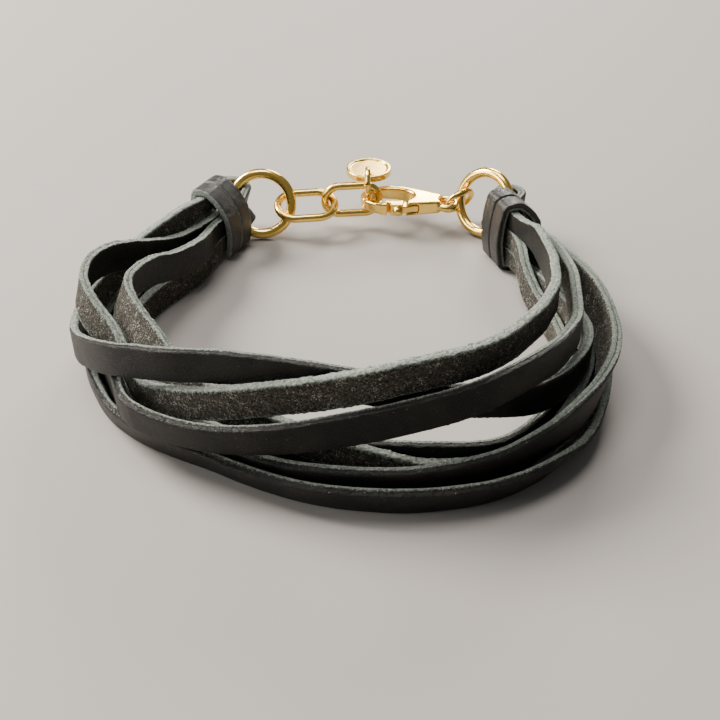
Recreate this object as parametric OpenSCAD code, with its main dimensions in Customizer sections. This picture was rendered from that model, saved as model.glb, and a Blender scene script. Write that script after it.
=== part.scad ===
// Multi-strand leather bracelet, closed by a lobster clasp.
// Millimetres. The floor is z = 0, the clasp side is +Y, the origin is inside the loop.

/* [Laces] */
// Width of each flat lace
lace_w = 3.9; // [3.8:0.05:4]
// Thickness of each flat lace
lace_t = 1.3; // [1.1:0.05:1.35]
// Chamfer along the long edges of a lace
lace_chamfer = 0.25; // [0.1:0.05:0.5]
// Sections along each strand
lace_steps = 63; // [40:1:80]

/* [Lace bindings] */
// Room left round the bundle inside a binding
bind_slack = 0.3; // [0.25:0.05:0.4]
// Thickness of the binding lace
bind_t = 1.1; // [0.9:0.05:1.1]
// Width of one turn of the binding lace
bind_turn = 2.6; // [2.2:0.1:2.7]
// Height of the middle of a binding over the floor
bind_z = 5.25; // [5.25:0.05:5.4]

/* [Rings] */
// Radius of each end ring to the middle of its wire
ring_r = 4.5; // [4.4:0.05:4.6]
// Radius of the wire of an end ring
ring_wire = 0.75; // [0.6:0.05:0.75]
// Backward lean of the left ring in degrees
ring_left_lean = 25; // [20:1:30]
// Backward lean of the right ring in degrees
ring_right_lean = 20; // [15:1:25]
// Turn of the right ring about the vertical in degrees
ring_right_turn = -44; // [-50:1:-40]

/* [Folds at the rings] */
// Width of a lace where it is folded lengthwise to go round a ring
fold_w = 1.75; // [1.5:0.05:1.8]
// Radius of a fold to the middle of the lace
fold_r = 1.75; // [1.7:0.05:1.9]
// Angle of the upper pair of folds above the middle of the ring
fold_up = 16; // [14:1:20]
// Angle of the lower pair of folds below the middle of the ring
fold_down = 30; // [26:1:32]
// How far the legs of a fold reach into the binding from its mouth, mm
fold_in = 2.4; // [1.5:0.1:2.6]
// Clearance between a fold and the wall of its binding, mm
fold_gap = 0.1; // [0.1:0.01:0.15]

/* [Chain and charm] */
// Wire radius of the oval links
link_wire = 0.6; // [0.5:0.05:0.6]

/* [Clasp] */
// Thickness of the clasp body
clasp_t = 2.2; // [2.1:0.05:2.3]
// Radius of the lever pin
pin_r = 0.4; // [0.3:0.05:0.45]
// Clearance between the lever and the body
lever_gap = 0.1; // [0.08:0.01:0.1]

/* [Hidden] */
// Middle line of the bundle in plan, one station per row: x, y
STATIONS = [
    [-21.2, 26.1], [-25.5, 18], [-31, 9], [-33.5, -1], [-31.5, -11], [-26, -19.5], [-17, -25.5],
    [-6, -28.5], [5, -29.3], [15.5, -27], [24.5, -20.5], [30, -10.5], [30.5, 1], [27.5, 12],
    [22.9, 23.2]
];
LEAD_IN = [-18.2, 34.4];
LEAD_OUT = [21.2, 34.1];
LAST = 14;

// Strand rows: station, distance outward, height of the upper edge, inward lean in degrees
// Strand A: grain side out, rises over the left front and dips behind the middle
STRAND_A = [
    [0.47, 0.76, 9.45, 0], [0.7, 0.65, 10.25, 0], [1.4, 0.4, 10, 0], [1.85, 0.45, 9.2, 0],
    [2.2, 0.85, 8.3, 0], [2.6, 1, 7.95, 0], [3, 1, 7.95, 0], [3.4, 1.3, 7.9, 0],
    [3.7, 1.15, 8.5, 0], [3.9, 0.65, 9.4, 0], [4.1, 0.2, 10.2, 0], [4.6, -0.65, 12.2, 0],
    [5, -1.65, 13.6, 0], [5.5, -2.6, 14.8, 0], [6, -3.9, 15.6, 0], [6.5, -4.1, 16, 0],
    [7, -4.7, 15.4, 0], [7.5, -5, 14.6, 0], [8, -5.4, 13.3, 0], [8.5, -5.3, 12.2, 0],
    [9.1, -5.3, 10.9, 0], [9.5, -5.1, 9.5, 0], [9.8, -4.8, 8.7, 0], [10.3, -4.2, 8.3, 0],
    [11.2, -3.3, 8.1, 0], [11.5, -3.5, 7.9, 0], [11.7, -3.6, 7.4, 0], [12, -3.7, 6.8, 0],
    [12.5, -3.7, 6, 0], [13, -3.5, 5.5, 0], [13.2, -2.85, 3.9, 0], [13.4, -2.65, 3.85, 0],
    [13.55, -2.31, 3.85, 0]
];
// Strand B: suede side out, the highest strand at the right
STRAND_B = [
    [0.47, -0.6, 6.6, 0], [0.6, -0.9, 6.95, 0], [0.84, -1.2, 7.3, 0], [1.3, -1.2, 8.1, 0],
    [1.65, -1.2, 9.6, 0], [2.1, -0.9, 11.5, 0], [2.4, -0.1, 12.8, 3], [2.75, 0.65, 12.8, 9],
    [3, 0.6, 12.5, 15], [3.3, -0.1, 12.6, 20], [3.5, -0.85, 12.2, 24], [3.7, -1.6, 11.4, 24],
    [3.9, -2.75, 10.9, 14], [4.2, -3.5, 9.8, 4], [4.6, -3.3, 8.3, 0], [5, -2.8, 8, 0],
    [5.5, -2.6, 9.8, 0], [6, -2.4, 11.6, 0], [6.6, -2.5, 13.6, 0], [7, -3.2, 14.3, 0],
    [7.6, -3.4, 16, 0], [8, -3.9, 16.8, 0], [8.5, -4.6, 17.1, 0], [9, -6, 16.4, 0],
    [9.5, -7.3, 15.8, 0], [10, -8.4, 15.2, 0], [11, -8.5, 14.4, 0], [12, -6.9, 13.1, 0],
    [12.6, -5, 11.6, 0], [12.9, -4.2, 11.7, 0], [13.1, -3.6, 11.5, 0], [13.35, -2.9, 10.4, 0],
    [13.55, -2.31, 9.45, 0]
];
// Strand C: grain side out, climbs from low left to high right
STRAND_C = [
    [0.47, 0.76, 6.65, 0], [0.6, 0.58, 6.9, 0], [0.78, 0.45, 6.9, 0], [0.97, 0.35, 6.2, 0],
    [1.5, 0.25, 5, 0], [2, 0.1, 4.3, 0], [3, -0.4, 4.15, 0], [3.5, -1.2, 4.9, 0], [4, -1.9, 5.4, 0],
    [4.2, -1.7, 6.4, 0], [4.5, -1.65, 8.1, 0], [4.75, -1.05, 8.3, 0], [5, 0.3, 8.2, -6],
    [5.5, 0, 8.2, -12], [6, -0.6, 8.4, -14], [6.5, -0.7, 9.4, -12], [7, -1.2, 10.5, -6],
    [7.5, -2, 11.6, 0], [8, -2.4, 12.7, 0], [8.7, -2.8, 13.9, 0], [9.1, -3.2, 14.4, 0],
    [9.6, -3.9, 14.4, 0], [10.4, -5, 12.8, 0], [11.2, -5.1, 11.4, 0], [11.7, -4.8, 11.4, 0],
    [12, -4, 11, 0], [12.5, -2.9, 10.3, 0], [13, -1.8, 9.9, 0], [13.2, -1.4, 9.4, 0],
    [13.4, -1.1, 8.6, 0], [13.55, -0.95, 8.1, 0]
];
// Strand D: grain side out, low at the front and high at the right back
STRAND_D = [
    [0.47, -0.6, 3.85, 0], [0.6, -0.75, 3.75, 0], [0.84, -1.1, 3.65, 0], [1.1, -1.35, 3.95, 0],
    [2, -1.6, 3.95, 0], [3, -1.9, 3.95, 0], [4, -3.4, 3.95, 0], [5, -3.1, 4.05, -18],
    [5.6, -3.75, 4.15, -20], [6, -3.7, 4.4, -22], [6.7, -1.7, 5.2, -25], [7, -0.95, 5.5, -20],
    [8, -0.8, 5.7, -20], [9, -0.6, 6.4, -10], [10, -0.6, 7.8, 0], [10.5, -0.65, 8.3, -10],
    [11, -0.9, 8.8, -25], [12, -1.05, 9.4, -26], [12.6, -0.75, 9.1, -12], [13, -0.2, 8.4, 0],
    [13.25, 0.1, 7.5, 0], [13.55, 0.41, 6.75, 0]
];
// Strand E: grain side out, the lowest and outermost strand
STRAND_E = [
    [0.47, 0.76, 3.85, 0], [0.6, 1.35, 3.6, 0], [0.75, 2.15, 3.5, 0], [1, 2, 3.95, 0],
    [1.3, 1.75, 4, 0], [2, 1.6, 3.95, 0], [3, 1.2, 3.95, 0], [3.5, 0.3, 3.95, 0],
    [4, -0.35, 4.05, -5], [4.3, -0.35, 4.1, -9], [4.65, -0.7, 4.1, -18], [5.2, -1.4, 4.1, -22],
    [5.6, -1.9, 4.1, -22], [6, -2, 4.1, -25], [6.7, -0.4, 4.15, -25], [7, 0.3, 4.15, -25],
    [8, 0.8, 4.15, -20], [9, 0.9, 4.15, -25], [9.6, 0.5, 4.1, -30], [10, -0.3, 3.7, -50],
    [10.5, -1.2, 3.8, -40], [11, -1.3, 4.15, -20], [11.5, -0.8, 4.1, -5], [12, -0.7, 3.95, 0],
    [13, -0.3, 4.2, 0], [13.55, 0.41, 3.85, 0]
];
// Strand F: suede side out, leans inward at the left front
STRAND_F = [
    [0.47, -1.96, 6.5, 0], [0.8, -3.5, 7.1, 0], [1.12, -4.4, 7.9, 0], [1.46, -4.8, 8.3, 0],
    [1.8, -4.9, 9.2, 0], [2.2, -4.9, 10.5, 0], [2.6, -4.8, 11.4, 10], [3, -4.6, 12, 20],
    [3.5, -5, 12.2, 35], [4, -5.8, 12, 40], [4.5, -6.3, 11.6, 40], [5, -6, 11, 35],
    [5.5, -5.4, 10.2, 20], [6, -5.2, 9.2, 5], [6.5, -4.7, 8.2, 0], [7, -4, 7.2, 0],
    [7.35, -3.6, 6.2, 0], [7.7, -3.4, 5.5, 0], [8, -3.3, 4.3, 0], [8.3, -3, 3.95, 0],
    [8.7, -2.5, 3.95, 0], [9.1, -2.25, 3.95, 0], [9.6, -2.6, 4.1, -10], [10, -3.2, 4.1, -10],
    [10.5, -3.6, 4.1, -10], [11, -3.2, 4.1, -5], [11.5, -2.4, 3.95, 0], [11.8, -2.15, 3.95, 0],
    [13, -1.85, 4.2, 0], [13.55, -0.95, 3.85, 0]
];
// Strand G: the innermost low strand
STRAND_G = [
    [0.47, -1.96, 3.85, 0], [0.8, -2.8, 3.5, 0], [1.1, -3.1, 3.95, 0], [2, -3.2, 3.95, 0],
    [3, -3.5, 3.95, 0], [4, -4.9, 3.95, 0], [5, -4.8, 4, -12], [5.6, -5.4, 4.1, -17],
    [6, -5.5, 4.15, -17], [6.4, -5.5, 4, 0], [6.7, -5.9, 4.1, 0], [7, -5.8, 4.5, 0],
    [7.5, -5.1, 5.3, 0], [7.75, -4.9, 5.4, 0], [8.3, -4.5, 5.2, 0], [8.7, -4, 4.9, 0],
    [9.1, -3.7, 4.4, 0], [9.4, -3.9, 4.3, 0], [10, -4.9, 4.05, 0], [10.5, -5.2, 3.95, 0],
    [12, -5.3, 3.95, 0], [12.7, -5.2, 4.2, 0], [13, -5.15, 5.3, 0], [13.2, -4.85, 6.8, 0],
    [13.4, -4, 7.4, 0], [13.55, -2.31, 6.75, 0]
];

RING_LEFT_AT = [-14.9, 31.3, 4.95];
RING_RIGHT_AT = [18.9, 31.5, 5.05];
// Bindings: x, y, heading towards the ring
BIND_LEFT = [-20.45, 26.3, 64];
BIND_RIGHT = [22, 22.9, 109];
// Outline that each binding is pulled round, seen along the laces
BIND_LEFT_SHAPE = [[-1.8, -3.8], [1.8, -3.8], [1.85, 1.2], [-0.65, 4], [-1.8, 4]];
BIND_RIGHT_SHAPE = [[-1.8, -3.8], [1.8, -3.8], [1.85, 1.5], [-0.55, 4.05], [-1.8, 4.05]];
BIND_LONG = 2 * bind_turn + 0.3;
SPLIT_Z = 4.6;
CLASP_AT = [0.1, 34.1, 4.4];
CLASP_TURN = -8;
PIVOT = [8.5, -1.3];
EYE = [13.2, 0];
CLASP_RING_AT = [15.1, 33.6, 4.25];
CLASP_RING_R = 2.35;
CHARM_RING_AT = [1.2, 33.8, 7.5];
DISC_AT = [1.35, 38.1, 7.3];

// Middle line of the bundle
function knot(i) = i < 0 ? LEAD_IN : i > LAST ? LEAD_OUT : STATIONS[i];
function spline(a, b, c, d, f) = (2 * b + (c - a) * f + (2 * a - 5 * b + 4 * c - d) * f * f
    + (3 * b - a - 3 * c + d) * f * f * f) / 2;
function base_index(t) = min(max(floor(t), 0), LAST - 1);
function base_point(t) = let (i = base_index(t))
    spline(knot(i - 1), knot(i), knot(i + 1), knot(i + 2), t - i);
function unit(v) = v / norm(v);
function base_normal(t) = let (d = unit(base_point(t + 0.05) - base_point(t - 0.05))) [d[1], -d[0]];

// Section of a strand at a station, as eight points of a chamfered rectangle
function column(rows, k) = [for (r = rows) [r[0], r[k]]];
function smooth(t, pairs) = (lookup(t - 0.2, pairs) + lookup(t - 0.1, pairs) + lookup(t, pairs)
    + lookup(t + 0.1, pairs) + lookup(t + 0.2, pairs)) / 5;
NARROWING = [[0.47, 0.66], [1, 1], [13, 1], [13.55, 0.66]];
function width(t) = lace_w * smooth(t, NARROWING);
function middle(t, cols) = let (
        p = base_point(t) + smooth(t, cols[0]) * base_normal(t),
        lean = abs(smooth(t, cols[2])))
    [p[0], p[1], smooth(t, cols[1]) - width(t) / 2 * cos(lean) - lace_t / 2 * sin(lean)];
function section(t, cols) = let (
        c = middle(t, cols),
        along = unit(middle(t + 0.05, cols) - middle(t - 0.05, cols)),
        out = unit(cross(along, [0, 0, 1])),
        up = cross(out, along),
        lean = smooth(t, cols[2]),
        x = cos(lean) * out + sin(lean) * up,
        y = cos(lean) * up - sin(lean) * out,
        h = lace_t / 2,
        w = width(t) / 2,
        k = lace_chamfer)
    [for (q = [[h, k - w], [h, w - k], [h - k, w], [k - h, w],
            [-h, w - k], [-h, k - w], [k - h, -w], [h - k, -w]])
        c + q[0] * x + q[1] * y];

module strand(rows) {
    cols = [column(rows, 1), column(rows, 2), column(rows, 3)];
    rings = [for (i = [0:lace_steps]) section(LAST * i / lace_steps, cols)];
    points = [for (r = rings) for (p = r) p];
    last = 8 * lace_steps;
    sides = [for (i = [0:lace_steps - 1]) for (j = [0:7]) let (a = 8 * i + j, b = 8 * i + (j + 1) % 8)
        for (f = [[a, b, b + 8], [a, b + 8, a + 8]]) f];
    caps = [[7, 6, 5, 4, 3, 2, 1, 0], [for (j = [0:7]) last + j]];
    polyhedron(points, concat(sides, caps), convexity = 10);
}

// Outline at a distance r round a convex polygon, with round corners
function corner(p, a, b, r) = let (turn = (b - a + 720) % 360)
    [for (k = [0:6]) p + r * [cos(a + turn * k / 6), sin(a + turn * k / 6)]];
function facing(p, q) = atan2(p[0] - q[0], q[1] - p[1]);
function around(shape, r) = let (n = len(shape))
    [for (i = [0:n - 1]) let (p = shape[(i + n - 1) % n], q = shape[i], s = shape[(i + 1) % n])
        for (v = corner(q, facing(p, q), facing(q, s), r)) v];

// Binding: two turns of lace round the bundle, with a groove between them
module at_binding(b) {
    translate([b[0], b[1], bind_z]) rotate([0, 0, b[2] - 90]) rotate([90, 0, 0]) children();
}

module binding(b, shape) {
    at_binding(b) difference() {
        union() {
            for (z = [-BIND_LONG / 2, BIND_LONG / 2 - bind_turn])
                translate([0, 0, z]) linear_extrude(height = bind_turn)
                    polygon(around(shape, bind_slack + bind_t));
            translate([0, 0, -0.4]) linear_extrude(height = 0.8)
                polygon(around(shape, bind_slack + bind_t - 0.35));
        }
        translate([0, 0, -BIND_LONG]) linear_extrude(height = 2 * BIND_LONG)
            polygon(around(shape, bind_slack));
    }
}

// Room of a binding's wall, with clearance on both sides
module wall_room(b, shape) {
    at_binding(b) difference() {
        translate([0, 0, -BIND_LONG / 2 - fold_gap]) linear_extrude(height = BIND_LONG + 2 * fold_gap)
            polygon(around(shape, bind_slack + bind_t + fold_gap));
        translate([0, 0, -BIND_LONG]) linear_extrude(height = 2 * BIND_LONG)
            polygon(around(shape, bind_slack - fold_gap));
    }
}

// Fold: a lace doubled round the wire of a ring, its legs running into the binding
function arc(r, a, b, n) = [for (i = [0:n]) let (v = a + (b - a) * i / n) [r * cos(v), r * sin(v)]];
function fold_outline(r, gap, reach) = let (
        p = [-reach, gap],
        a = atan2(gap, -reach) - acos(r / norm(p)),
        n = [cos(a), sin(a)],
        h = lace_t / 2,
        o = p + h * n,
        i = p - h * n)
    concat([o], arc(r + h, a, -a, 24), [[o[0], -o[1]], [i[0], -i[1]]], arc(r - h, -a, a, 24), [i]);

// side: 1 for the upper pair, -1 for the lower pair; half: which lace of the pair
module fold(ring_at, across, up, angle, b, shape, side, half) {
    wire = ring_at + ring_r * (cos(angle) * across + sin(angle) * up);
    tangent = cos(angle) * up - sin(angle) * across;
    mouth = [b[0] + (BIND_LONG / 2 + 0.5) * cos(b[2]), b[1] + (BIND_LONG / 2 + 0.5) * sin(b[2])];
    turn = [wire[0], wire[1] + 0.7, wire[2]];
    run = [turn[0] - mouth[0], turn[1] - mouth[1]];
    intersection() {
        difference() {
            translate(turn)
                rotate([0, 0, atan2(run[1], run[0])])
                rotate([atan2(tangent[0], tangent[2]), 0, 0])
                translate([0, 0, half * (fold_w + 0.1) / 2 - fold_w / 2])
                linear_extrude(height = fold_w) polygon(fold_outline(fold_r, 0.75, norm(run) + fold_in));
            wall_room(b, shape);
        }
        translate([wire[0] - 15, wire[1] - 15, side > 0 ? SPLIT_Z + 0.06 : 0.05])
            cube([30, 30, side > 0 ? 12 : SPLIT_Z - 0.11]);
    }
}

LEFT_ACROSS = [-1, 0, 0];
LEFT_UP = [0, sin(ring_left_lean), cos(ring_left_lean)];
RIGHT_ACROSS = [cos(ring_right_turn), sin(ring_right_turn), 0];
RIGHT_UP = [-sin(ring_right_turn) * sin(ring_right_lean), cos(ring_right_turn) * sin(ring_right_lean),
    cos(ring_right_lean)];

module fold_left(side, half) {
    color([0.12, 0.11, 0.11]) difference() {
        fold(RING_LEFT_AT, LEFT_ACROSS, LEFT_UP, side > 0 ? fold_up : -fold_down, BIND_LEFT,
            BIND_LEFT_SHAPE, side, half);
        at_ring_left() torus(ring_r, ring_wire + 0.08);
    }
}

module fold_right(side, half) {
    color([0.12, 0.11, 0.11]) difference() {
        fold(RING_RIGHT_AT, RIGHT_ACROSS, RIGHT_UP, side > 0 ? fold_up : -fold_down, BIND_RIGHT,
            BIND_RIGHT_SHAPE, side, half);
        at_ring_right() torus(ring_r, ring_wire + 0.08);
    }
}

// Round wire ring lying in the XY plane
module torus(r, wire) {
    rotate_extrude($fn = 96) translate([r, 0]) circle(r = wire, $fn = 40);
}

// Oval link lying in the XY plane, from x = 0 to x = long along its middle line
module oval(long, r, wire) {
    union() {
        translate([r, 0, 0]) rotate([0, 0, 90])
            rotate_extrude(angle = 180, $fn = 96) translate([r, 0]) circle(r = wire, $fn = 40);
        translate([long - r, 0, 0]) rotate([0, 0, -90])
            rotate_extrude(angle = 180, $fn = 96) translate([r, 0]) circle(r = wire, $fn = 40);
        for (y = [-r, r])
            translate([r, y, 0]) rotate([0, 90, 0]) cylinder(h = long - 2 * r, r = wire, $fn = 40);
    }
}

module at_ring_left() {
    translate(RING_LEFT_AT) rotate([90 - ring_left_lean, 0, 0]) children();
}

module at_ring_right() {
    translate(RING_RIGHT_AT) rotate([90 - ring_right_lean, 0, ring_right_turn]) children();
}

module ring_left() { color([0.85, 0.68, 0.32]) at_ring_left() torus(ring_r, ring_wire); }
module ring_right() { color([0.85, 0.68, 0.32]) at_ring_right() torus(ring_r, ring_wire); }

module link_1() {
    color([0.85, 0.68, 0.32]) translate([-12.5, 31.1, 4.45]) rotate([18, 0, 8]) oval(8.7, 2.7, link_wire);
}

module link_2() {
    color([0.85, 0.68, 0.32]) translate([-5.4, 32.75, 4.7]) rotate([90, 0, 6]) oval(8.35, 2.3, link_wire);
}

module charm_ring() {
    color([0.85, 0.68, 0.32]) translate(CHARM_RING_AT) rotate([0, 90, 0]) torus(1.8, 0.4);
}

// Plain disc with a raised rim and a hole near its edge, lying nearly flat
module charm_disc() {
    color([0.86, 0.7, 0.35]) translate(DISC_AT) difference() {
        rotate_extrude($fn = 96) polygon([[0, -0.3], [2.9, -0.3], [3.0, -0.5], [3.4, -0.5], [3.5, -0.4],
            [3.5, 0.4], [3.4, 0.5], [3.0, 0.5], [2.9, 0.3], [0, 0.3]]);
        translate([0, -2.45, -2]) cylinder(h = 4, r = 0.7, $fn = 40);
    }
}

// Clasp, lying flat: the hook at the left, the eye at the right, the lever on the near side
module at_clasp() {
    translate(CLASP_AT) rotate([0, 0, CLASP_TURN]) children();
}

module oval_2d(at, rx, ry) {
    translate(at) polygon([for (i = [0:59]) [rx * cos(6 * i), ry * sin(6 * i)]]);
}

module slab(t) {
    translate([0, 0, -t / 2]) linear_extrude(height = t) children();
}

// Side profile: thin at the hook, thicker over the lever, thinner again at the eye
CLASP_SIDE = [[-1, 0.7], [1.5, 0.8], [4, 1], [8, clasp_t / 2], [12, 1], [16, 0.8]];

module clasp_body() {
    color([0.85, 0.68, 0.32]) at_clasp() union() {
        difference() {
            union() {
                intersection() {
                    slab(clasp_t) difference() {
                        union() {
                            oval_2d([5, 0], 5, 3.4);
                            polygon([[8.2, -2.6], [12.4, -1.4], [12.4, 1.4], [8.2, 2.6]]);
                        }
                        oval_2d([4.8, 0.1], 3.4, 2.1);
                        polygon([[3.6, -1.2], [3.6, -2.6], [4.5, -2.6], [4.5, -5], [7.2, -5], [7.2, -1]]);
                        translate(EYE) circle(r = 1.1, $fn = 48);
                    }
                    translate([0, 6, 0]) rotate([90, 0, 0]) linear_extrude(height = 12)
                        polygon(concat(CLASP_SIDE,
                            [for (i = [5:-1:0]) [CLASP_SIDE[i][0], -CLASP_SIDE[i][1]]]));
                }
                translate(EYE) rotate_extrude($fn = 72) translate([1.5, 0]) circle(r = 0.55, $fn = 32);
            }
            slab(1.1 + 2 * lever_gap) union() {
                translate(PIVOT) circle(r = 1.2, $fn = 48);
                polygon([[7.1, -5], [7.1, -0.15], [8.5, -0.1], [8.7, -2.4], [9.2, -5]]);
            }
            translate([EYE[0], EYE[1], -3]) cylinder(h = 6, r = 0.95, $fn = 40);
        }
        translate([PIVOT[0], PIVOT[1], 0.1 - clasp_t / 2]) cylinder(h = clasp_t - 0.2, r = pin_r, $fn = 32);
    }
}

module clasp_lever() {
    color([0.88, 0.72, 0.36]) at_clasp() difference() {
        union() {
            slab(1.9) polygon([[3.8, -2.45], [3.85, -1.85], [5, -1.85], [6.3, -1.65], [6.8, -1.45],
                [6.8, -3.1], [6, -3.25], [5.2, -3.3], [5, -3.25], [4.75, -2.5]]);
            slab(1.1) union() {
                translate(PIVOT) circle(r = 1.05, $fn = 48);
                polygon([[6.5, -1.6], [6.5, -3.15], [7.6, -2.8], [8.8, -2.2], [8.5, -0.4], [7.4, -0.8]]);
            }
            translate([6.1, -3.35, 0]) sphere(r = 0.7, $fn = 40);
        }
        translate([PIVOT[0], PIVOT[1], -3]) cylinder(h = 6, r = pin_r + lever_gap, $fn = 32);
    }
}

module clasp_ring() {
    color([0.85, 0.68, 0.32]) translate(CLASP_RING_AT) rotate([0, 59, 123]) torus(CLASP_RING_R, 0.45);
}

module strand_a() { color([0.13, 0.12, 0.12]) strand(STRAND_A); }
module strand_b() { color([0.2, 0.19, 0.19]) strand(STRAND_B); }
module strand_c() { color([0.13, 0.12, 0.12]) strand(STRAND_C); }
module strand_d() { color([0.13, 0.12, 0.12]) strand(STRAND_D); }
module strand_e() { color([0.13, 0.12, 0.12]) strand(STRAND_E); }
module strand_f() { color([0.2, 0.19, 0.19]) strand(STRAND_F); }
module strand_g() { color([0.11, 0.1, 0.1]) strand(STRAND_G); }
module binding_left() { color([0.13, 0.12, 0.12]) binding(BIND_LEFT, BIND_LEFT_SHAPE); }
module binding_right() { color([0.13, 0.12, 0.12]) binding(BIND_RIGHT, BIND_RIGHT_SHAPE); }

module fold_left_1() { fold_left(1, 1); }
module fold_left_2() { fold_left(1, -1); }
module fold_left_3() { fold_left(-1, 1); }
module fold_left_4() { fold_left(-1, -1); }
module fold_right_1() { fold_right(1, 1); }
module fold_right_2() { fold_right(1, -1); }
module fold_right_3() { fold_right(-1, 1); }
module fold_right_4() { fold_right(-1, -1); }

strand_a();
strand_b();
strand_c();
strand_d();
strand_e();
strand_f();
strand_g();
binding_left();
binding_right();
fold_left_1();
fold_left_2();
fold_left_3();
fold_left_4();
fold_right_1();
fold_right_2();
fold_right_3();
fold_right_4();
ring_left();
ring_right();
link_1();
link_2();
charm_ring();
charm_disc();
clasp_body();
clasp_lever();
clasp_ring();
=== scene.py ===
import math
import bpy
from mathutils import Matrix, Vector, noise


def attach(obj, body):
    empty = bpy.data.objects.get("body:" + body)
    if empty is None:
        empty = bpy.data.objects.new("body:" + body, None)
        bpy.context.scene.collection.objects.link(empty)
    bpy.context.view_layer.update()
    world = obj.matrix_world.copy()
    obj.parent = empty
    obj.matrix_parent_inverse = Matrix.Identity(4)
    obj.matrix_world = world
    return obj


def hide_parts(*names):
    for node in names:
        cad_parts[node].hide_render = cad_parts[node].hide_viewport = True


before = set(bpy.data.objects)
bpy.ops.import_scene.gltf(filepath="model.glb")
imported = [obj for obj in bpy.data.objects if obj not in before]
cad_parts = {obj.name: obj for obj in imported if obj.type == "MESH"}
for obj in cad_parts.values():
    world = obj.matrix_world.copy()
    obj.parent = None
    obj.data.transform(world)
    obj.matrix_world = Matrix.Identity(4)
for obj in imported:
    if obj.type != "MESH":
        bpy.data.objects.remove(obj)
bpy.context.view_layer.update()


# The view, the table top and the lights. The bracelet lies on a plain pale table top, seen from low
# in front. A broad warm lamp stands high at the left back, and weaker ones stand behind, low at the
# left and overhead.
lens = bpy.data.cameras.new("view")
lens.lens = 50
lens.sensor_width = 36
lens.clip_start = 0.005
camera = bpy.data.objects.new("view", lens)
camera.location = (0, -0.1055, 0.075)
camera.rotation_euler = (math.radians(54), 0, 0)
bpy.context.collection.objects.link(camera)
bpy.context.scene.camera = camera

bpy.ops.mesh.primitive_plane_add(size=6, location=(0, 0, 0))
table_top = bpy.context.object
table_top.name = "table_top"
pale = bpy.data.materials.new("pale table top")
pale.use_nodes = True
pale_shader = pale.node_tree.nodes["Principled BSDF"]
pale_shader.inputs["Base Color"].default_value = (0.31, 0.288, 0.266, 1)
pale_shader.inputs["Roughness"].default_value = 0.75
table_top.data.materials.append(pale)


def lamp(name, place, size, power, color):
    """A round lamp that shines at the origin, where the bracelet lies."""
    light = bpy.data.lights.new(name, "AREA")
    light.shape = "DISK"
    light.size = size
    light.energy = power
    light.color = color
    holder = bpy.data.objects.new(name, light)
    holder.location = place
    holder.rotation_euler = (-Vector(place)).to_track_quat("-Z", "Y").to_euler()
    bpy.context.collection.objects.link(holder)


lamp("window", place=(-0.38, 0.2, 0.36), size=0.26, power=8.6, color=(1, 0.945, 0.87))
lamp("back_glow", place=(0.12, 0.52, 0.28), size=0.22, power=3.0, color=(1, 0.95, 0.88))
lamp("left_fill", place=(-0.5, -0.1, 0.17), size=0.3, power=2.2, color=(1, 0.99, 0.96))
lamp("ceiling", place=(-0.08, 0.06, 0.55), size=0.3, power=2.2, color=(1, 0.97, 0.93))
room = bpy.data.worlds.new("room")
room.use_nodes = True
sky = room.node_tree.nodes["Background"]
sky.inputs["Color"].default_value = (0.96, 0.97, 1, 1)
sky.inputs["Strength"].default_value = 0.19
bpy.context.scene.world = room


# Helpers for all pieces.
UP = Vector((0, 0, 1))
WELD = 0.000001


def share(value):
    """The value, held between 0 and 1."""
    return max(0.0, min(1.0, value))


def level_way(heading):
    """The level direction at an angle in degrees from the x axis."""
    heading = math.radians(heading)
    return Vector((math.cos(heading), math.sin(heading), 0))


def weld_all():
    """Joins the points of the mesh in edit mode that lie on each other."""
    bpy.ops.mesh.select_all(action="SELECT")
    bpy.ops.mesh.remove_doubles(threshold=WELD)


class Value:
    """A number or colour in a material; arithmetic on it adds Math nodes."""

    def __init__(self, owner, socket):
        self.owner = owner
        self.socket = socket

    def maths(self, operation, first, second):
        return self.owner.node("ShaderNodeMath", {"operation": operation}, {0: first, 1: second})

    def __add__(self, other):
        return self.maths("ADD", self, other)

    def __sub__(self, other):
        return self.maths("SUBTRACT", self, other)

    def __rsub__(self, other):
        return self.maths("SUBTRACT", other, self)

    def __mul__(self, other):
        return self.maths("MULTIPLY", self, other)


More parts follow.
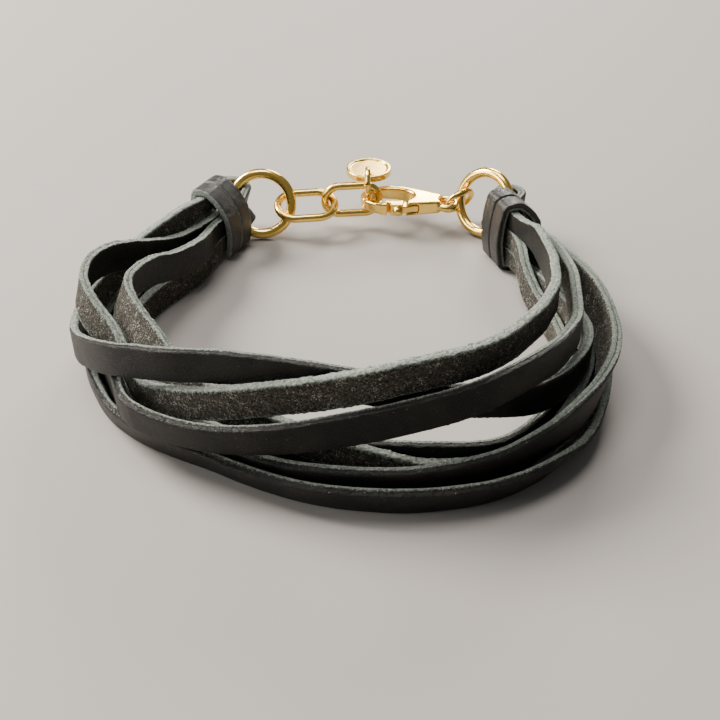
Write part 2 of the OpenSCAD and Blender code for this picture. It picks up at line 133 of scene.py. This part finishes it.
class Finish:
    """A material under construction; node() adds one node and gives its output."""

    def __init__(self, name):
        self.material = bpy.data.materials.new(name)
        self.material.use_nodes = True
        self.tree = self.material.node_tree
        self.shader = self.tree.nodes["Principled BSDF"]

    def node(self, kind, settings, values, output=0):
        made = self.tree.nodes.new(kind)
        for key, value in settings.items():
            setattr(made, key, value)
        for key, value in values.items():
            self.set(made.inputs[key], value)
        return Value(self, made.outputs[output])

    def set(self, socket, value):
        if isinstance(value, Value):
            self.tree.links.new(value.socket, socket)
        else:
            socket.default_value = value

    def place(self):
        """Where a point is in its object, in metres."""
        return self.node("ShaderNodeTexCoord", {}, {}, "Object")

    def painted(self, name):
        """A number that the mesh holds for each point."""
        return self.node("ShaderNodeAttribute", {"attribute_name": name}, {}, "Fac")

    def cloud(self, vector, scale, detail, rough=0.55):
        return self.node("ShaderNodeTexNoise", {},
                         {"Vector": vector, "Scale": scale, "Detail": detail, "Roughness": rough})

    def cell_walls(self, vector, scale):
        return self.node("ShaderNodeTexVoronoi", {"feature": "DISTANCE_TO_EDGE"},
                         {"Vector": vector, "Scale": scale})

    def between(self, value, low, high, new_low=0.0, new_high=1.0):
        """The value, held between low and high and stretched to go from new_low to new_high."""
        return self.node("ShaderNodeMapRange", {"clamp": True},
                         {"Value": value, "From Min": low, "From Max": high,
                          "To Min": new_low, "To Max": new_high})

    def tint(self, factor, first, second):
        """The first colour where the factor is 0, the second where it is 1."""
        color_inputs = {0: factor, 6: first, 7: second}
        color_output = 2
        return self.node("ShaderNodeMix", {"data_type": "RGBA", "clamp_factor": True},
                         color_inputs, color_output)

    def bump(self, height, distance, strength):
        return self.node("ShaderNodeBump", {},
                         {"Height": height, "Distance": distance, "Strength": strength})

    def done(self, **values):
        """Sets the inputs of the shader and gives the finished material."""
        for key, value in values.items():
            self.set(self.shader.inputs[key.replace("_", " ")], value)
        return self.material


# The strands. Seven flat laces, about 4 mm wide and 1.3 mm thick, cut from black leather: smooth
# grain on one face, raw suede on the other, and pale grey-green fibres along the cut edges.
# Each lies on its edge and wanders over the others between the two bindings.
CREASE = (0.03, 0.0275, 0.024, 1)
DUST = (0.3, 0.27, 0.22, 1)
# The hollow colours are painted shade in the low points of the nap and of the edge fibres, laid over
# their own tone, which varies at random.
SUEDE_HOLLOW_SHADE = (0.003, 0.003, 0.0028, 1)
SUEDE_NAP = (0.09, 0.083, 0.068, 1)
SUEDE_SPECK = (0.45, 0.42, 0.34, 1)
FIBRE_HOLLOW_SHADE = (0.07, 0.08, 0.07, 1)
FIBRE_TIP = (0.33, 0.37, 0.32, 1)
FIBRE_SPECK = (0.66, 0.68, 0.6, 1)
ROUGHEST = 0.95


def lace_leather(name, grain_dark, grain_brown, dull, gloss):
    """Leather with grain, suede and cut edges, told apart by the numbers that lay_lace paints."""
    made = Finish(name)
    place = made.place()
    flesh = made.painted("flesh")
    cut = made.painted("cut_edge")
    wear = made.cloud(place, scale=190, detail=4)
    pores = made.cell_walls(place, scale=3200)
    creases = made.cloud(place, scale=1500, detail=6, rough=0.65)
    fluff = made.cloud(place, scale=3600, detail=5, rough=0.72)
    specks = made.cloud(place, scale=6200, detail=2, rough=0.5)
    dust = made.cloud(place, scale=3300, detail=1, rough=0.5)
    clumps = made.cloud(place, scale=900, detail=3, rough=0.6)
    grain = made.tint(made.between(wear, 0.42, 0.66), grain_dark, grain_brown)
    grain = made.tint(made.between(creases, 0.55, 0.78, 0, 0.4), grain, CREASE)
    grain = made.tint(made.between(dust, 0.75, 0.82, 0, 0.7), grain, DUST)
    # Darker where the fluff noise, which also raises the bump, is low: painted shade in the hollows of
    # the nap.
    suede = made.tint(made.between(fluff, 0.36, 0.64), SUEDE_HOLLOW_SHADE, SUEDE_NAP)
    suede = made.tint(made.between(specks + (clumps - 0.5) * 0.5, 0.6, 0.76), suede, SUEDE_SPECK)
    # Darker where the fluff bump is low: painted shade in the hollows between the fibres.
    fibres = made.tint(made.between(fluff, 0.32, 0.66), FIBRE_HOLLOW_SHADE, FIBRE_TIP)
    fibres = made.tint(made.between(specks, 0.62, 0.72, 0, 0.65), fibres, FIBRE_SPECK)
    ragged = made.between(cut + (fluff - 0.5) * 1.1 + (specks - 0.5) * 0.5, 0.38, 0.6)
    face = made.tint(flesh, grain, suede)
    grain_relief = made.between(pores, 0, 0.12) * 0.5 + creases * 1.3
    grain_relief = grain_relief * (1 - flesh) * (1 - ragged)
    relief = grain_relief + (fluff * 3.5 + specks * 1.5) * flesh + fluff * 2.4 * ragged
    return made.done(
        Base_Color=made.tint(ragged, face, fibres),
        Roughness=made.between(flesh + ragged + (wear - 0.5) * 0.5, 0, 1, dull, ROUGHEST),
        Normal=made.bump(relief, distance=0.00008, strength=0.9),
        Specular_IOR_Level=gloss)


strand_leather = lace_leather("black grain leather", grain_dark=(0.005, 0.005, 0.0047, 1),
                              grain_brown=(0.015, 0.013, 0.0105, 1), dull=0.42, gloss=0.2)

# Points along half a cut edge and steps along a face in the section of a lace.
END_POINTS = 3
FACE_STEPS = 6
# Sizes of the cut edges and of their fraying, in metres.
CORNER_RADIUS = 0.00022
# The colour and fraying of a cut edge start this far below its top and are full this much higher.
EDGE_START = 0.00012
EDGE_RISE = 0.00008
# A suede face is pale and fluffy at its corners, to this share, and fades over this width.
FLUFF_SHARE = 0.55
FLUFF_WIDE = 0.0005
# Waves of the fraying and of the slight bulges in a lace: noise scales per metre and where the
# noise starts, and how far a bulge reaches.
FINE_WAVES = 3600
SLOW_WAVES = 700
SIDE_WAVES = 4200
BULGE_WAVES = 300
SIDE_START = Vector((3, 8, 1))
BULGE_START = Vector((5, 1, 2))
BULGE = 0.00004
SUEDE_FRAY = 0.00012
GRAIN_FRAY = 0.00008
WORN_FRAY = 0.00004


def lace_section(half_thick, half_wide):
    """Points round the section of a lace, from the middle of its lower cut edge."""
    side = half_thick - CORNER_RADIUS
    tall = half_wide - CORNER_RADIUS
    turns = [math.radians(v) for v in (-90, -60, -30, 0)]
    end = [(side * k / END_POINTS, -half_wide) for k in range(END_POINTS)]
    corner = [(side + CORNER_RADIUS * math.cos(v), -tall + CORNER_RADIUS * math.sin(v)) for v in turns]
    face = [(half_thick, -tall + 2 * tall * i / FACE_STEPS) for i in range(1, FACE_STEPS)]
    half = end + corner + face + [(x, -y) for x, y in reversed(corner)]
    half += [(x, -y) for x, y in reversed(end[1:])]
    return half + [(-x, -y) for x, y in half] + [(0, -half_wide)]


def lay_lace(name, places, half_thick, half_wide, leather, flesh_outside, fray):
    """Cuts a strip, lays it along the places and closes it round its section.

    A place holds the middle, the ways outward and upward, the shares of the full width and
    thickness there, and how much of the cut edge shows bare fibres: 0 none, 1 all of it."""
    ring = lace_section(half_thick, half_wide)
    rows = len(places) - 1
    columns = len(ring) - 1
    bpy.ops.object.select_all(action="DESELECT")
    bpy.ops.mesh.primitive_grid_add(x_subdivisions=rows, y_subdivisions=columns, size=1)
    lace = bpy.context.object
    lace.name = name
    lace.data.name = name
    mesh = lace.data
    flesh = mesh.attributes.new("flesh", "FLOAT", "POINT")
    cut = mesh.attributes.new("cut_edge", "FLOAT", "POINT")
    for vertex in mesh.vertices:
        middle, outward, upward, narrow, thin, bare = places[round((vertex.co.x + 0.5) * rows)]
        x, y = ring[round((vertex.co.y + 0.5) * columns)]
        edge = share((abs(y) - half_wide + EDGE_START) / EDGE_RISE)
        grain_side = x / half_thick * (-1 if flesh_outside else 1)
        flesh.data[vertex.index].value = 1.0 if grain_side < 0 else 0.0
        seen = edge * share((2 * bare - 1 - grain_side) * 2 + 0.5)
        fluffed = 0.0
        if grain_side < -0.9:
            fluffed = FLUFF_SHARE * max(0.0, 1 - (half_wide - CORNER_RADIUS - abs(y)) / FLUFF_WIDE)
        cut.data[vertex.index].value = max(seen, fluffed)
        spot = middle + outward * (x * thin) + upward * (y * narrow)
        fine = noise.noise(spot * FINE_WAVES)
        slow = noise.noise(spot * SLOW_WAVES)
        spot += upward * math.copysign(1, y) * edge * (fine * fray + slow * fray * 0.8)
        sideways = noise.noise(spot * SIDE_WAVES + SIDE_START)
        spot += outward * math.copysign(edge, x) * sideways * fray * 0.8
        spot += outward * noise.noise(spot * BULGE_WAVES + BULGE_START) * BULGE
        spot.z = max(spot.z, 0)
        vertex.co = spot
    bpy.ops.object.mode_set(mode="EDIT")
    weld_all()
    bpy.ops.mesh.select_all(action="DESELECT")
    bpy.ops.mesh.select_non_manifold()
    bpy.ops.mesh.fill_holes(sides=0)
    bpy.ops.mesh.select_all(action="SELECT")
    bpy.ops.mesh.normals_make_consistent(inside=False)
    bpy.ops.object.mode_set(mode="OBJECT")
    bpy.ops.object.shade_smooth()
    mesh.materials.append(leather)
    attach(lace, "bracelet")
    return lace


# The bundle's middle line from above, as x and y of its stations, and the points before and after.
# Here and in all that follows, sizes are in millimetres where nothing else is said.
stations = [
    (-21.2, 26.1), (-25.5, 18), (-31, 9), (-33.5, -1), (-31.5, -11), (-26, -19.5), (-17, -25.5),
    (-6, -28.5), (5, -29.3), (15.5, -27), (24.5, -20.5), (30, -10.5), (30.5, 1), (27.5, 12),
    (22.9, 23.2)
]
lead_in = (-18.2, 34.4)
lead_out = (21.2, 34.1)
# station, distance outward, height of the upper edge, inward lean in degrees
strand_rows = {
    "a": [
        (0.47, 0.76, 9.45, 0), (0.7, 0.65, 10.25, 0), (1.4, 0.4, 10, 0), (1.85, 0.45, 9.2, 0),
        (2.2, 0.85, 8.3, 0), (2.6, 1, 7.95, 0), (3, 1, 7.95, 0), (3.4, 1.3, 7.9, 0),
        (3.7, 1.15, 8.5, 0), (3.9, 0.65, 9.4, 0), (4.1, 0.2, 10.2, 0), (4.6, -0.65, 12.2, 0),
        (5, -1.65, 13.6, 0), (5.5, -2.6, 14.8, 0), (6, -3.9, 15.6, 0), (6.5, -4.1, 16, 0),
        (7, -4.7, 15.4, 0), (7.5, -5, 14.6, 0), (8, -5.4, 13.3, 0), (8.5, -5.3, 12.2, 0),
        (9.1, -5.3, 10.9, 0), (9.5, -5.1, 9.5, 0), (9.8, -4.8, 8.7, 0), (10.3, -4.2, 8.3, 0),
        (11.2, -3.3, 8.1, 0), (11.5, -3.5, 7.9, 0), (11.7, -3.6, 7.4, 0), (12, -3.7, 6.8, 0),
        (12.5, -3.7, 6, 0), (13, -3.5, 5.5, 0), (13.2, -2.85, 3.9, 0), (13.4, -2.65, 3.85, 0),
        (13.55, -2.31, 3.85, 0)
    ],
    "b": [
        (0.47, -0.6, 6.6, 0), (0.6, -0.9, 6.95, 0), (0.84, -1.2, 7.3, 0), (1.3, -1.2, 8.1, 0),
        (1.65, -1.2, 9.6, 0), (2.1, -0.9, 11.5, 0), (2.4, -0.1, 12.8, 3), (2.75, 0.65, 12.8, 9),
        (3, 0.6, 12.5, 15), (3.3, -0.1, 12.6, 20), (3.5, -0.85, 12.2, 24), (3.7, -1.6, 11.4, 24),
        (3.9, -2.75, 10.9, 14), (4.2, -3.5, 9.8, 4), (4.6, -3.3, 8.3, 0), (5, -2.8, 8, 0),
        (5.5, -2.6, 9.8, 0), (6, -2.4, 11.6, 0), (6.6, -2.5, 13.6, 0), (7, -3.2, 14.3, 0),
        (7.6, -3.4, 16, 0), (8, -3.9, 16.8, 0), (8.5, -4.6, 17.1, 0), (9, -6, 16.4, 0),
        (9.5, -7.3, 15.8, 0), (10, -8.4, 15.2, 0), (11, -8.5, 14.4, 0), (12, -6.9, 13.1, 0),
        (12.6, -5, 11.6, 0), (12.9, -4.2, 11.7, 0), (13.1, -3.6, 11.5, 0), (13.35, -2.9, 10.4, 0),
        (13.55, -2.31, 9.45, 0)
    ],
    "c": [
        (0.47, 0.76, 6.65, 0), (0.6, 0.58, 6.9, 0), (0.78, 0.45, 6.9, 0), (0.97, 0.35, 6.2, 0),
        (1.5, 0.25, 5, 0), (2, 0.1, 4.3, 0), (3, -0.4, 4.15, 0), (3.5, -1.2, 4.9, 0),
        (4, -1.9, 5.4, 0), (4.2, -1.7, 6.4, 0), (4.5, -1.65, 8.1, 0), (4.75, -1.05, 8.3, 0),
        (5, 0.3, 8.2, -6), (5.5, 0, 8.2, -12), (6, -0.6, 8.4, -14), (6.5, -0.7, 9.4, -12),
        (7, -1.2, 10.5, -6), (7.5, -2, 11.6, 0), (8, -2.4, 12.7, 0), (8.7, -2.8, 13.9, 0),
        (9.1, -3.2, 14.4, 0), (9.6, -3.9, 14.4, 0), (10.4, -5, 12.8, 0), (11.2, -5.1, 11.4, 0),
        (11.7, -4.8, 11.4, 0), (12, -4, 11, 0), (12.5, -2.9, 10.3, 0), (13, -1.8, 9.9, 0),
        (13.2, -1.4, 9.4, 0), (13.4, -1.1, 8.6, 0), (13.55, -0.95, 8.1, 0)
    ],
    "d": [
        (0.47, -0.6, 3.85, 0), (0.6, -0.75, 3.75, 0), (0.84, -1.1, 3.65, 0), (1.1, -1.35, 3.95, 0),
        (2, -1.6, 3.95, 0), (3, -1.9, 3.95, 0), (4, -3.4, 3.95, 0), (5, -3.1, 4.05, -18),
        (5.6, -3.75, 4.15, -20), (6, -3.7, 4.4, -22), (6.7, -1.7, 5.2, -25), (7, -0.95, 5.5, -20),
        (8, -0.8, 5.7, -20), (9, -0.6, 6.4, -10), (10, -0.6, 7.8, 0), (10.5, -0.65, 8.3, -10),
        (11, -0.9, 8.8, -25), (12, -1.05, 9.4, -26), (12.6, -0.75, 9.1, -12), (13, -0.2, 8.4, 0),
        (13.25, 0.1, 7.5, 0), (13.55, 0.41, 6.75, 0)
    ],
    "e": [
        (0.47, 0.76, 3.85, 0), (0.6, 1.35, 3.6, 0), (0.75, 2.15, 3.5, 0), (1, 2, 3.95, 0),
        (1.3, 1.75, 4, 0), (2, 1.6, 3.95, 0), (3, 1.2, 3.95, 0), (3.5, 0.3, 3.95, 0),
        (4, -0.35, 4.05, -5), (4.3, -0.35, 4.1, -9), (4.65, -0.7, 4.1, -18), (5.2, -1.4, 4.1, -22),
        (5.6, -1.9, 4.1, -22), (6, -2, 4.1, -25), (6.7, -0.4, 4.15, -25), (7, 0.3, 4.15, -25),
        (8, 0.8, 4.15, -20), (9, 0.9, 4.15, -25), (9.6, 0.5, 4.1, -30), (10, -0.3, 3.7, -50),
        (10.5, -1.2, 3.8, -40), (11, -1.3, 4.15, -20), (11.5, -0.8, 4.1, -5), (12, -0.7, 3.95, 0),
        (13, -0.3, 4.2, 0), (13.55, 0.41, 3.85, 0)
    ],
    "f": [
        (0.47, -1.96, 6.5, 0), (0.8, -3.5, 7.1, 0), (1.12, -4.4, 7.9, 0), (1.46, -4.8, 8.3, 0),
        (1.8, -4.9, 9.2, 0), (2.2, -4.9, 10.5, 0), (2.6, -4.8, 11.4, 10), (3, -4.6, 12, 20),
        (3.5, -5, 12.2, 35), (4, -5.8, 12, 40), (4.5, -6.3, 11.6, 40), (5, -6, 11, 35),
        (5.5, -5.4, 10.2, 20), (6, -5.2, 9.2, 5), (6.5, -4.7, 8.2, 0), (7, -4, 7.2, 0),
        (7.35, -3.6, 6.2, 0), (7.7, -3.4, 5.5, 0), (8, -3.3, 4.3, 0), (8.3, -3, 3.95, 0),
        (8.7, -2.5, 3.95, 0), (9.1, -2.25, 3.95, 0), (9.6, -2.6, 4.1, -10), (10, -3.2, 4.1, -10),
        (10.5, -3.6, 4.1, -10), (11, -3.2, 4.1, -5), (11.5, -2.4, 3.95, 0), (11.8, -2.15, 3.95, 0),
        (13, -1.85, 4.2, 0), (13.55, -0.95, 3.85, 0)
    ],
    "g": [
        (0.47, -1.96, 3.85, 0), (0.8, -2.8, 3.5, 0), (1.1, -3.1, 3.95, 0), (2, -3.2, 3.95, 0),
        (3, -3.5, 3.95, 0), (4, -4.9, 3.95, 0), (5, -4.8, 4, -12), (5.6, -5.4, 4.1, -17),
        (6, -5.5, 4.15, -17), (6.4, -5.5, 4, 0), (6.7, -5.9, 4.1, 0), (7, -5.8, 4.5, 0),
        (7.5, -5.1, 5.3, 0), (7.75, -4.9, 5.4, 0), (8.3, -4.5, 5.2, 0), (8.7, -4, 4.9, 0),
        (9.1, -3.7, 4.4, 0), (9.4, -3.9, 4.3, 0), (10, -4.9, 4.05, 0), (10.5, -5.2, 3.95, 0),
        (12, -5.3, 3.95, 0), (12.7, -5.2, 4.2, 0), (13, -5.15, 5.3, 0), (13.2, -4.85, 6.8, 0),
        (13.4, -4, 7.4, 0), (13.55, -2.31, 6.75, 0)
    ]
}
OUTWARD, HEIGHT, LEAN = 1, 2, 3
LAST = len(stations) - 1
LACE_HALF_WIDE = 1.95
LACE_HALF_THICK = 0.65
# stations before and after a point between which its heading is taken
AHEAD = 0.05
# station, share of the full width: the laces are squeezed where they leave the bindings
width_rows = [(0.47, 0.66), (1, 1), (13, 1), (13.55, 0.66)]
# station, share of the full thickness: the laces are thinner at the front
thickness_rows = [(1, 0.95), (3, 0.84), (4.5, 0.8), (9, 0.88), (11, 1), (13, 1)]
# how much of a cut edge shows pale fibres at the back and at the front; the low front values are partly
# painted shade on laces in shadow
BACK_EDGE_SHOWN = 0.95
front_edges_shown_and_shaded = {"a": 0.44, "b": 1.3, "c": 0.3, "d": 0.44, "e": 0.3, "f": 1.3, "g": 0.44}


def station(i):
    return Vector(lead_in if i < 0 else lead_out if i > LAST else stations[i])


def bundle_point(t):
    """The point at t stations along the smooth line through the stations."""
    i = min(max(math.floor(t), 0), LAST - 1)
    f = t - i
    a, b, c, d = station(i - 1), station(i), station(i + 1), station(i + 2)
    return (2 * b + (c - a) * f + (2 * a - 5 * b + 4 * c - d) * f ** 2
            + (3 * b - a - 3 * c + d) * f ** 3) / 2


def lookup(t, rows, column):
    if t <= rows[0][0]:
        return rows[0][column]
    for low, high in zip(rows, rows[1:]):
        if t <= high[0]:
            return low[column] + (high[column] - low[column]) * (t - low[0]) / (high[0] - low[0])
    return rows[-1][column]


def smooth(t, rows, column=1):
    """The mean of five looked-up values from 0.2 of a station before t to 0.2 after it."""
    return sum(lookup(t + 0.1 * k, rows, column) for k in range(-2, 3)) / 5


def strand_middle(t, rows):
    """The middle of a lace at t stations, hung below the height of its upper edge."""
    ahead = (bundle_point(t + AHEAD) - bundle_point(t - AHEAD)).normalized()
    spot = bundle_point(t) + smooth(t, rows, OUTWARD) * Vector((ahead.y, -ahead.x))
    lean = math.radians(abs(smooth(t, rows, LEAN)))
    half_wide = LACE_HALF_WIDE * smooth(t, width_rows)
    drop = half_wide * math.cos(lean) + LACE_HALF_THICK * math.sin(lean)
    return Vector((spot.x, spot.y, smooth(t, rows, HEIGHT) - drop))


def strand_place(t, rows, edge_shown):
    """A place for lay_lace at t stations."""
    ahead = (strand_middle(t + AHEAD, rows) - strand_middle(t - AHEAD, rows)).normalized()
    out = ahead.cross(UP).normalized()
    up = out.cross(ahead)
    lean = math.radians(smooth(t, rows, LEAN))
    outward = out * math.cos(lean) + up * math.sin(lean)
    upward = up * math.cos(lean) - out * math.sin(lean)
    # At the front the edges of the grain-outside laces are dimmed: partly a narrower band of fibres,
    # partly painted shade.
    edge_rows = [(3.4, BACK_EDGE_SHOWN), (4.6, edge_shown), (9.2, edge_shown), (11, BACK_EDGE_SHOWN)]
    return (strand_middle(t, rows) / 1000, outward, upward,
            smooth(t, width_rows), smooth(t, thickness_rows), smooth(t, edge_rows))


steps = 1000
for letter, rows in strand_rows.items():
    suede_outside = letter in "bf"
    fray = SUEDE_FRAY if suede_outside else GRAIN_FRAY
    places = [strand_place(LAST * i / steps, rows, front_edges_shown_and_shaded[letter]) for i in range(steps + 1)]
    strand = lay_lace("lace_" + letter, places, LACE_HALF_THICK / 1000, LACE_HALF_WIDE / 1000,
                      strand_leather, suede_outside, fray)
    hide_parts("strand_" + letter)


# The bindings. Just behind each ring a narrower lace is wound twice round the whole bundle and its
# ends are tucked away below. Handling has polished it, and the bundle squeezes it out of round.
binding_leather = lace_leather("burnished leather", grain_dark=(0.006, 0.006, 0.0056, 1),
                               grain_brown=(0.018, 0.0155, 0.0125, 1), dull=0.3, gloss=0.45)
# Where each binding's middle is, seen from above, and the heading of the laces inside it in degrees.
LEFT_BINDING_AT, LEFT_HEADING = (-20.45, 26.3), 64
RIGHT_BINDING_AT, RIGHT_HEADING = (22, 22.9), 109
BINDING_HEIGHT = 5.25
BINDING_SLACK = 0.3
BINDING_HALF_THICK = 0.53
BINDING_HALF_WIDE = 1.31
WINDING_PITCH = 2.84
WINDING_STEP = 0.15
WINDING_BULGE = 0.06
# The first end lies at this step of the outline, and the lace crosses over along this share of it.
WINDING_START = 36
CROSSING_SHARE = 0.14
CORNER_STEPS = 8


def round_shape(shape, reach):
    """Points and outward directions of the closed line at a distance round a convex outline."""
    line = []
    count = len(shape)
    for i in range(count):
        before, here, after = Vector(shape[i - 1]), Vector(shape[i]), Vector(shape[(i + 1) % count])
        start = math.atan2(before.x - here.x, here.y - before.y)
        turn = (math.atan2(here.x - after.x, after.y - here.y) - start) % (2 * math.pi)
        for k in range(CORNER_STEPS + 1):
            facing = start + turn * k / CORNER_STEPS
            way = Vector((math.cos(facing), math.sin(facing)))
            line.append((here + way * reach, way))
    return line


def even_steps(line, step, bulge):
    """The same closed line at even steps, its flats pushed out as the bundle fills them."""
    made = []
    for (a, out_a), (b, out_b) in zip(line, line[1:] + line[:1]):
        long = (b - a).length
        pieces = max(1, round(long / step))
        for k in range(pieces):
            f = k / pieces
            out = (out_a + (out_b - out_a) * f).normalized()
            made.append((a + (b - a) * f + out * (4 * bulge * long * f * (1 - f)), out))
    return made


def wind_binding(name, spot, heading, shape, edge_shown):
    """Winds a lace twice round the outline of the bundle, which is a convex shape seen along it."""
    way = level_way(heading)
    side = Vector((way.y, -way.x, 0))
    outline = round_shape(shape, BINDING_SLACK + BINDING_HALF_THICK)
    line = even_steps(outline, WINDING_STEP, WINDING_BULGE)
    count = len(line)
    crossing = round(CROSSING_SHARE * count)
    places = []
    for i in range(2 * count - crossing):
        over = share((i - (count - crossing)) / crossing)
        over = over * over * (3 - 2 * over)
        point, out = line[(WINDING_START + i) % count]
        middle = Vector((spot[0], spot[1], BINDING_HEIGHT)) + side * point.x + UP * point.y
        middle += way * (-WINDING_PITCH / 2 + WINDING_PITCH * over)
        outward = (side * out.x + UP * out.y).normalized()
        places.append((middle / 1000, outward, way, 1, 1, edge_shown))
    wound = lay_lace("lace_" + name, places, BINDING_HALF_THICK / 1000, BINDING_HALF_WIDE / 1000,
                     binding_leather, False, WORN_FRAY)
    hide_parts(name)


wind_binding("binding_left", LEFT_BINDING_AT, LEFT_HEADING,
             [(-1.8, -3.8), (1.8, -3.8), (1.85, 1.2), (-0.65, 4), (-1.8, 4)], edge_shown=1.1)
wind_binding("binding_right", RIGHT_BINDING_AT, RIGHT_HEADING,
             [(-1.8, -3.8), (1.8, -3.8), (1.85, 1.5), (-0.55, 4.05), (-1.8, 4.05)], edge_shown=0.35)


# The folds. At each ring two pairs of laces come out of the binding, bend round the ring's wire
# and go back into the binding, one pair above the other. A fold is curled to half its width.
RING_RADIUS = 4.5
LEFT_RING_AT = (-14.9, 31.3, 4.95)
RIGHT_RING_AT = (18.9, 31.5, 5.05)
RIGHT_RING_TURN = -44
# A fold's legs enter the binding this far from its middle and end this far inside.
BINDING_MOUTH = 3.25
LEG_INSIDE = 2.6
LEG_GAP = 0.75
LEG_STEPS = 36
BEND_RADIUS = 1.75
BEND_SHIFT = 0.7
BEND_STEPS = 48
# From the middle of a pair to the middle of each of its folds, and half a fold's own sizes.
PAIR_OFFSET = 0.925
FOLD_HALF_THICK = 0.6
FOLD_HALF_WIDE = 0.86
FOLD_EDGE_SHOWN = 0.8


def ring_up(turn, lean):
    """The way up in the plane of a ring that is turned about z and leans back, both in degrees."""
    turn = math.radians(turn)
    lean = math.radians(lean)
    return Vector((-math.sin(turn) * math.sin(lean), math.cos(turn) * math.sin(lean), math.cos(lean)))


def fold_lace(name, ring_at, across, up, angle, spot, heading, half):
    """Doubles a lace round the wire of a ring; half is 1 for the upper of a pair, -1 for the lower."""
    angle = math.radians(angle)
    wire = Vector(ring_at) + RING_RADIUS * (math.cos(angle) * across + math.sin(angle) * up)
    tangent = math.cos(angle) * up - math.sin(angle) * across
    mouth = Vector((spot[0], spot[1], 0)) + level_way(heading) * BINDING_MOUTH
    turn = wire + Vector((0, BEND_SHIFT, 0))
    run = Vector((turn.x - mouth.x, turn.y - mouth.y, 0))
    reach = run.length + LEG_INSIDE
    run.normalize()
    tilt = math.atan2(tangent.x, tangent.z)
    level = Vector((-run.y, run.x, 0))
    sideways = level * math.cos(tilt) + UP * math.sin(tilt)
    stand = UP * math.cos(tilt) - level * math.sin(tilt)
    touch = math.atan2(LEG_GAP, -reach) - math.acos(BEND_RADIUS / math.hypot(reach, LEG_GAP))
    ways = [touch * (1 - 2 * k / BEND_STEPS) for k in range(BEND_STEPS + 1)]
    bend = [(BEND_RADIUS * math.cos(v), BEND_RADIUS * math.sin(v), v) for v in ways]
    leg_x, leg_y, way = bend[0]
    legs = [(-reach + (leg_x + reach) * k / LEG_STEPS, LEG_GAP + (leg_y - LEG_GAP) * k / LEG_STEPS, way)
            for k in range(LEG_STEPS)]
    places = []
    for x, y, out in legs + bend + [(x, -y, -out) for x, y, out in reversed(legs)]:
        middle = turn + run * x + sideways * y + stand * (half * PAIR_OFFSET)
        outward = run * math.cos(out) + sideways * math.sin(out)
        places.append((middle / 1000, outward, stand, 1, 1, FOLD_EDGE_SHOWN))
    folded = lay_lace("lace_" + name, places, FOLD_HALF_THICK / 1000, FOLD_HALF_WIDE / 1000,
                      strand_leather, False, WORN_FRAY)
    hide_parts(name)


left_across = Vector((-1, 0, 0))
left_up = ring_up(turn=0, lean=25)
right_across = level_way(RIGHT_RING_TURN)
right_up = ring_up(RIGHT_RING_TURN, lean=20)
# angle of a pair above the middle of its ring, and which of the pair's two folds
for number, (angle, half) in enumerate([(16, 1), (16, -1), (-30, 1), (-30, -1)], 1):
    fold_lace("fold_left_%d" % number, LEFT_RING_AT, left_across, left_up, angle,
              LEFT_BINDING_AT, LEFT_HEADING, half)
    fold_lace("fold_right_%d" % number, RIGHT_RING_AT, right_across, right_up, angle,
              RIGHT_BINDING_AT, RIGHT_HEADING, half)


# The rings, links and small rings. They are bent from round brass wire and plated in warm gold,
# polished, with faint handling marks and a slightly duller tone where the plating is worn.
def plated_gold(name, color, worn, marks):
    """Gold with patches of a second tone and fine marks from handling."""
    made = Finish(name)
    place = made.place()
    patches = made.cloud(place, scale=260, detail=3)
    stretched = made.node("ShaderNodeMapping", {}, {"Vector": place, "Scale": (1, 1, 5)})
    scuffs = made.cloud(stretched, scale=3200, detail=4, rough=0.7)
    return made.done(
        Base_Color=made.tint(made.between(patches, 0.4, 0.7), color, worn),
        Metallic=1.0,
        Roughness=made.between(patches * 0.6 + scuffs * 0.4, 0.35, 0.65, 0.14, 0.3),
        Normal=made.bump(scuffs, distance=0.000012, strength=marks))


wire_gold = plated_gold("gold plated wire", color=(0.95, 0.66, 0.17, 1),
                        worn=(0.84, 0.54, 0.11, 1), marks=0.3)
for node in ("ring_left", "ring_right", "link_1", "link_2", "charm_ring", "clasp_ring"):
    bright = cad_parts[node]
    bright.data.materials.clear()
    bright.data.materials.append(wire_gold)


# The charm. A small round brass disc with a raised rim, a bare matt middle and a hole for its
# ring near the edge. It was stamped and tumbled, so its edges are soft.
def cast_copy(name, node, grain, rounds):
    """A copy of a CAD node with its edges worn round, as casting and tumbling leave them."""
    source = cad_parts[node]
    soft = bpy.data.objects.new(name, source.data.copy())
    bpy.context.collection.objects.link(soft)
    bpy.ops.object.select_all(action="DESELECT")
    soft.select_set(True)
    bpy.context.view_layer.objects.active = soft
    bpy.ops.object.mode_set(mode="EDIT")
    weld_all()
    bpy.ops.object.mode_set(mode="OBJECT")
    remesh = soft.modifiers.new("wear", "REMESH")
    remesh.mode = "VOXEL"
    remesh.voxel_size = grain
    bpy.ops.object.modifier_apply(modifier="wear")
    relax = soft.modifiers.new("relax", "SMOOTH")
    relax.factor = 0.5
    relax.iterations = rounds
    bpy.ops.object.modifier_apply(modifier="relax")
    bpy.ops.object.shade_smooth()
    soft.data.materials.clear()
    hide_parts(node)
    return soft


disc_gold = plated_gold("gold plated disc", color=(0.96, 0.69, 0.2, 1),
                        worn=(0.88, 0.58, 0.14, 1), marks=0.6)
disc = cast_copy("charm", "charm_disc", grain=0.00006, rounds=5)
disc.data.materials.append(disc_gold)
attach(disc, "bracelet")


# The lobster clasp. A cast brass hook with an eye at its end; a short sprung lever turns on a pin
# in its near side and shuts its mouth, and a small knob on the lever takes the thumb.
clasp_gold = plated_gold("gold plated casting", color=(0.95, 0.67, 0.18, 1),
                         worn=(0.86, 0.55, 0.12, 1), marks=0.45)
body = cast_copy("clasp_casting", "clasp_body", grain=0.00008, rounds=80)
body.data.materials.append(clasp_gold)
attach(body, "bracelet")
lever = cast_copy("clasp_lever_casting", "clasp_lever", grain=0.00006, rounds=30)
lever.data.materials.append(clasp_gold)
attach(lever, "lever")
